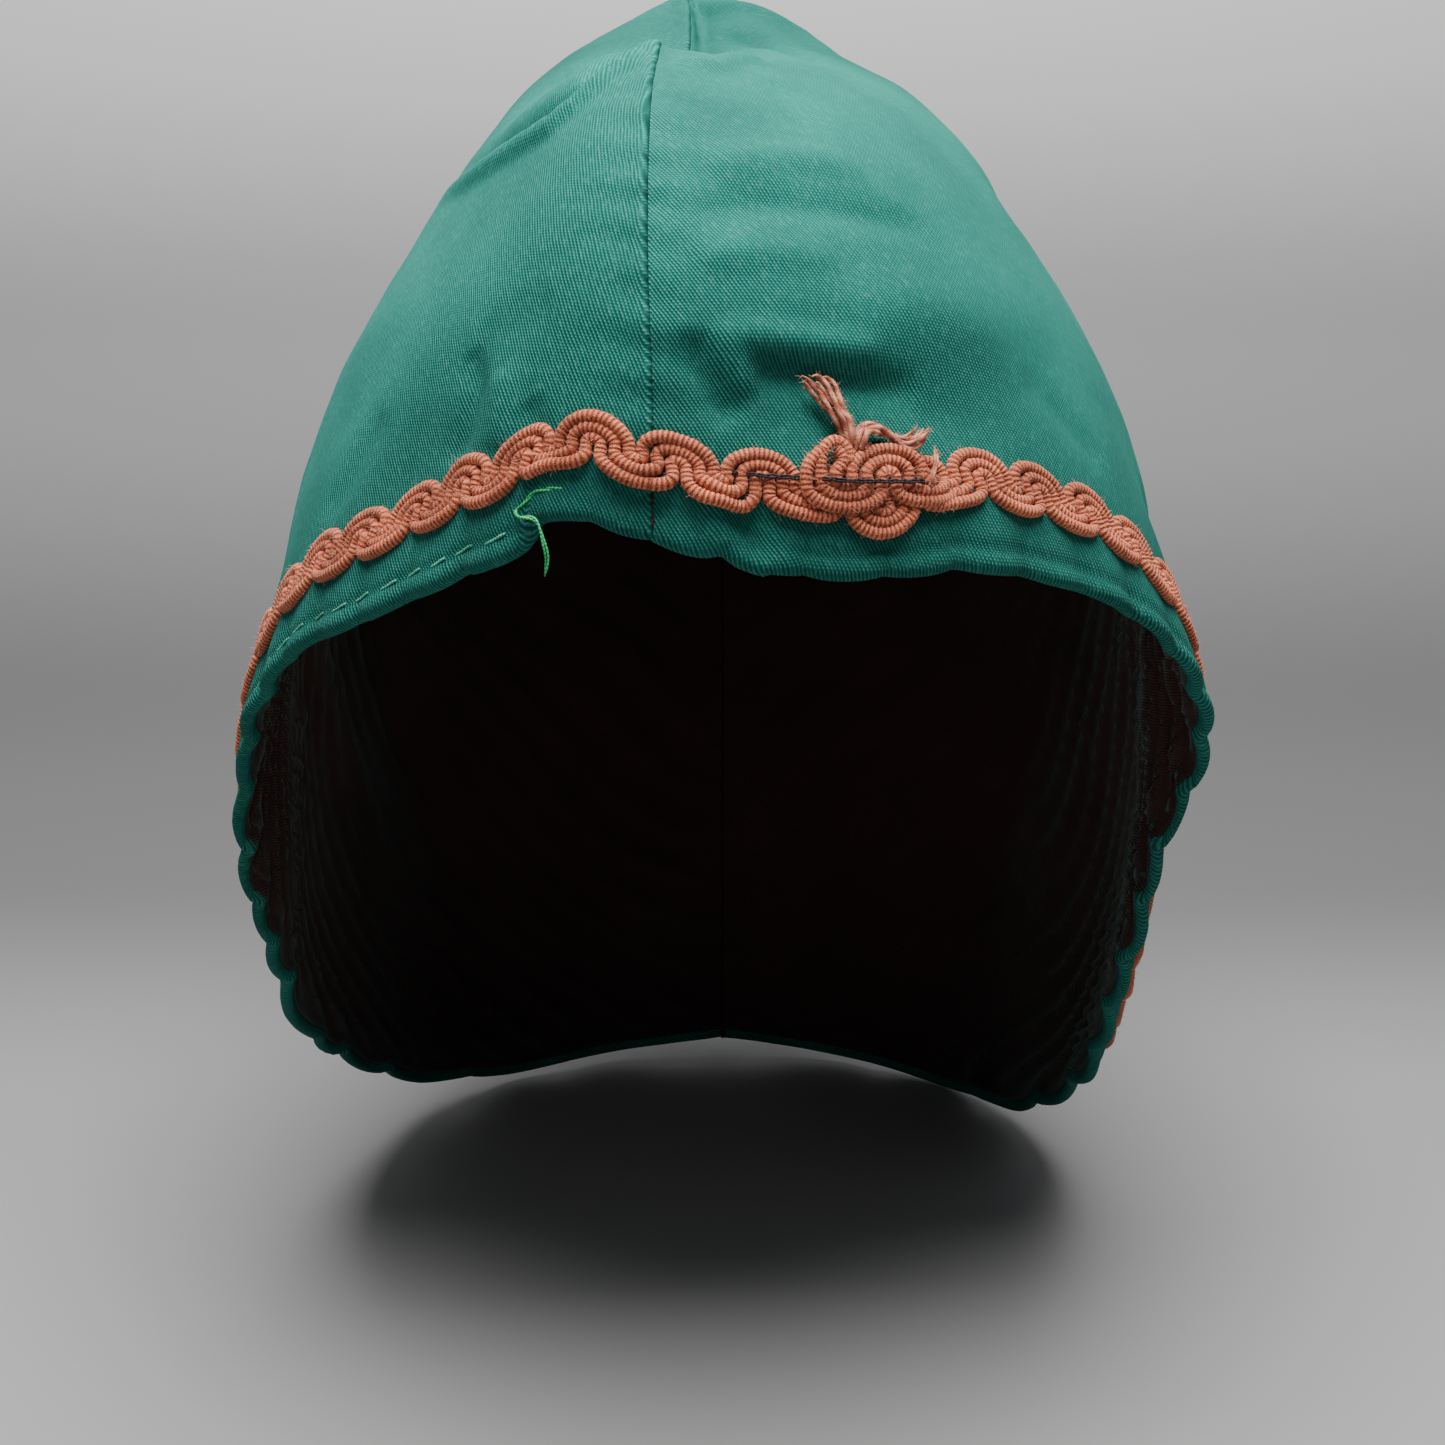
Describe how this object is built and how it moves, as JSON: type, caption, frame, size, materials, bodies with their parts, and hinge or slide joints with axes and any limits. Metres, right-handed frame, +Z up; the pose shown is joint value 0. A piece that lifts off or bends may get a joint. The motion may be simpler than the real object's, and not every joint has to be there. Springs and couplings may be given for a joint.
{
  "type": "pointed hood",
  "caption": "Lined hood of two cloth panels that rise to a point behind a soft crown fold, open at the face and neck, with scalloped gimp braid sewn round the hem.",
  "frame": {"origin": "inside the hood under the crown, where the top of the wearer's head touches the lining", "axes": "+Z up to the tip, -Y out of the face opening, +X to the wearer's left"},
  "size_m": [0.1928, 0.2254, 0.2723],
  "materials": {
    "green_twill": "matte cotton twill, bottle green",
    "brown_lining": "matte plain weave, near-black brown",
    "copper_gimp": "corded gimp with a soft sheen, copper red"
  },
  "bodies": {
    "root": {"outer_left": "green_twill", "outer_right": "green_twill", "lining_left": "brown_lining", "lining_right": "brown_lining", "gimp_braid": "copper_gimp", "frayed_end_upright": "copper_gimp", "frayed_end_lying": "copper_gimp"}
  },
  "joints": []
}
